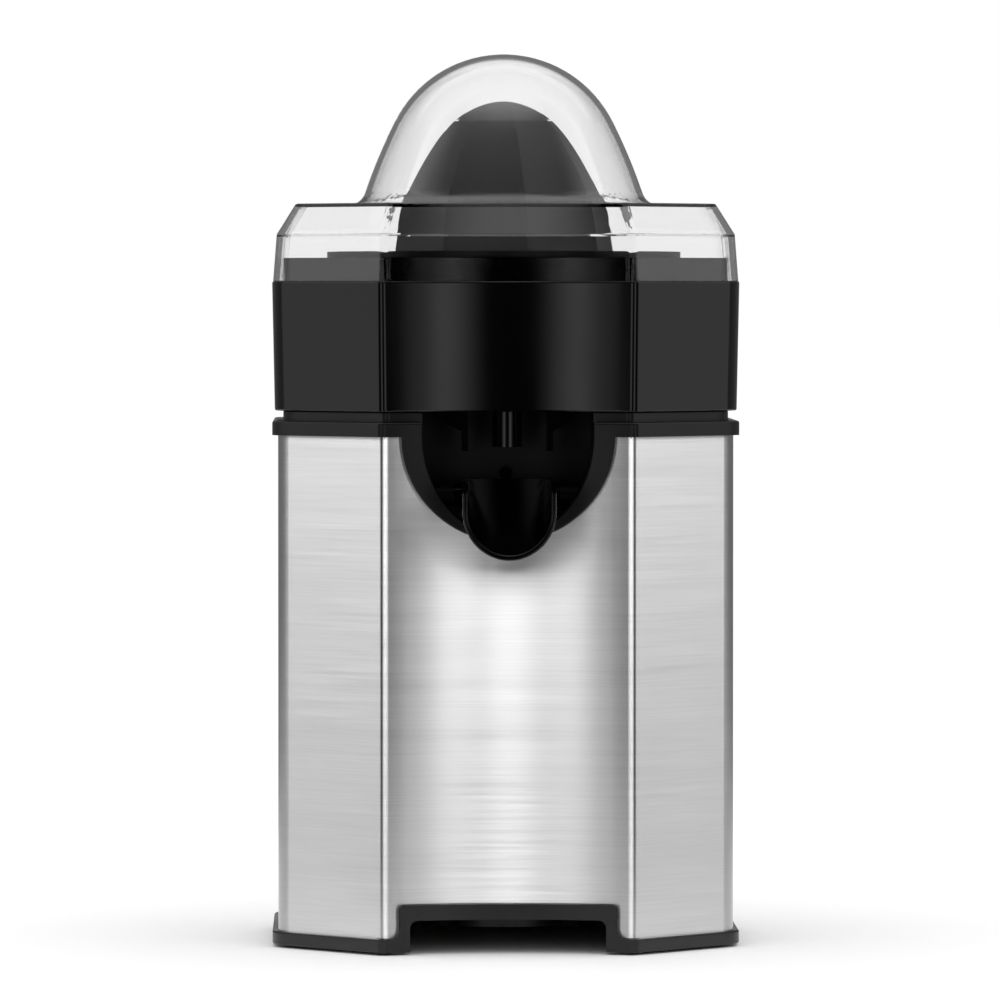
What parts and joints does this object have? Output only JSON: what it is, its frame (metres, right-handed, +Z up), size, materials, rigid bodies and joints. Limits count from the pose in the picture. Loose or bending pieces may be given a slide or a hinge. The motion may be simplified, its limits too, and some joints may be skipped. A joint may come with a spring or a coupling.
{
  "type": "electric citrus juicer",
  "caption": "Tower citrus juicer with brushed steel body, press-to-start reamer, pulp basket, black juice collector, snap-up spout and clear domed lid.",
  "frame": {"origin": "on the table, under the middle of the bounding box", "axes": "+Z up along the reamer axis, -Y towards the front where the spout is, +X to the right seen from the front of the box"},
  "size_m": [0.1794, 0.2046, 0.3439],
  "materials": {
    "clear_lid": "clear moulded",
    "black_gloss": "high gloss moulded",
    "base_black": "satin moulded",
    "brushed_body": "level brushed",
    "black_rubber": "moulded",
    "grey_plastic": "moulded",
    "white_nylon": "moulded",
    "bright_steel": "turned",
    "zinc_strip": "zinc plated",
    "bronze": "sintered",
    "lamination": "stacked sheet",
    "magnet": "ferrite",
    "copper_winding": "enamelled wire",
    "lead_insulation": "extruded"
  },
  "bodies": {
    "housing": {"steel_sleeve": "brushed_body", "seam_strip": "base_black", "top_housing": "black_gloss", "recess_screw": "bright_steel", "spout_pins": "bright_steel", "base_frame": "base_black", "rubber_feet": "black_rubber", "cord_gland": "black_rubber", "frame_pillars": "grey_plastic", "deck_screws": "bright_steel", "base_screws": "bright_steel", "upper_bush": "bronze", "shaft_seal": "black_rubber", "lower_bush": "bronze", "gearbox_housing": "grey_plastic", "gear_plate": "grey_plastic", "gearbox_screws": "bright_steel", "idler_axle": "bright_steel", "stator_core": "lamination", "stator_coils": "copper_winding", "motor_bracket": "zinc_strip", "motor_bushes": "bronze", "motor_spacers": "zinc_strip", "motor_screws": "bright_steel", "switch_bracket": "zinc_strip", "bracket_screws": "bright_steel", "micro_switch": "grey_plastic", "lead_wires": "lead_insulation", "return_spring": "bright_steel"},
    "collector": {"juice_collector": "black_gloss"},
    "lid": {"dust_cover": "clear_lid"},
    "carriage": {"thrust_cup": "white_nylon"},
    "shaft": {"drive_shaft": "bright_steel", "drive_hub": "white_nylon", "output_gear": "white_nylon", "shaft_clip": "bright_steel"},
    "reamer": {"reamer_cone": "black_gloss", "pulp_basket": "black_gloss"},
    "pulp_setting": {"pulp_ring": "black_gloss"},
    "spout_body": {"spout": "black_gloss"},
    "idler": {"idler_gear": "white_nylon"},
    "rotor": {"rotor_magnet": "magnet", "rotor_shaft": "bright_steel", "motor_pinion": "white_nylon"},
    "plunger": {"switch_plunger": "white_nylon"}
  },
  "joints": [
    {"name": "collector_lift", "type": "slide", "parent": "housing", "child": "collector", "axis": [0, 0, 1], "range_m": [0, 0.12]},
    {"name": "lid_lift", "type": "slide", "parent": "collector", "child": "lid", "axis": [0, 0, 1], "range_m": [0, 0.12]},
    {"name": "reamer_press", "type": "slide", "parent": "housing", "child": "carriage", "axis": [0, 0, -1], "range_m": [0, 0.0027], "stiffness_N_per_m": 2000, "springref_m": -0.004, "deforming": ["return_spring"]},
    {"name": "reamer_spin", "type": "hinge", "parent": "carriage", "child": "shaft", "pos_m": [0, 0.00975, 0.2], "axis": [0, 0, 1], "continuous": true},
    {"name": "reamer_lift", "type": "slide", "parent": "shaft", "child": "reamer", "axis": [0, 0, 1], "range_m": [0, 0.12]},
    {"name": "pulp_select", "type": "hinge", "parent": "reamer", "child": "pulp_setting", "pos_m": [0, 0.00975, 0.245], "axis": [0, 0, 1], "range_deg": [0, 40]},
    {"name": "spout_flip", "type": "hinge", "parent": "housing", "child": "spout_body", "pos_m": [0, -0.05025, 0.174], "axis": [-1, 0, 0], "range_deg": [0, 28]},
    {"name": "idler_spin", "type": "hinge", "parent": "housing", "child": "idler", "pos_m": [0.01871, 0.0406, 0.19], "axis": [0, 0, 1], "continuous": true},
    {"name": "rotor_spin", "type": "hinge", "parent": "housing", "child": "rotor", "pos_m": [0, 0.05575, 0.16], "axis": [0, 0, 1], "continuous": true},
    {"name": "plunger_press", "type": "slide", "parent": "housing", "child": "plunger", "axis": [0, 0, -1], "range_m": [0, 0.0027]}
  ],
  "couplings": [
    {"joint": "reamer_lift", "follows": "collector_lift", "ratio": 1},
    {"joint": "idler_spin", "follows": "reamer_spin", "ratio": -5},
    {"joint": "rotor_spin", "follows": "reamer_spin", "ratio": 25},
    {"joint": "plunger_press", "follows": "reamer_press", "ratio": 1}
  ]
}
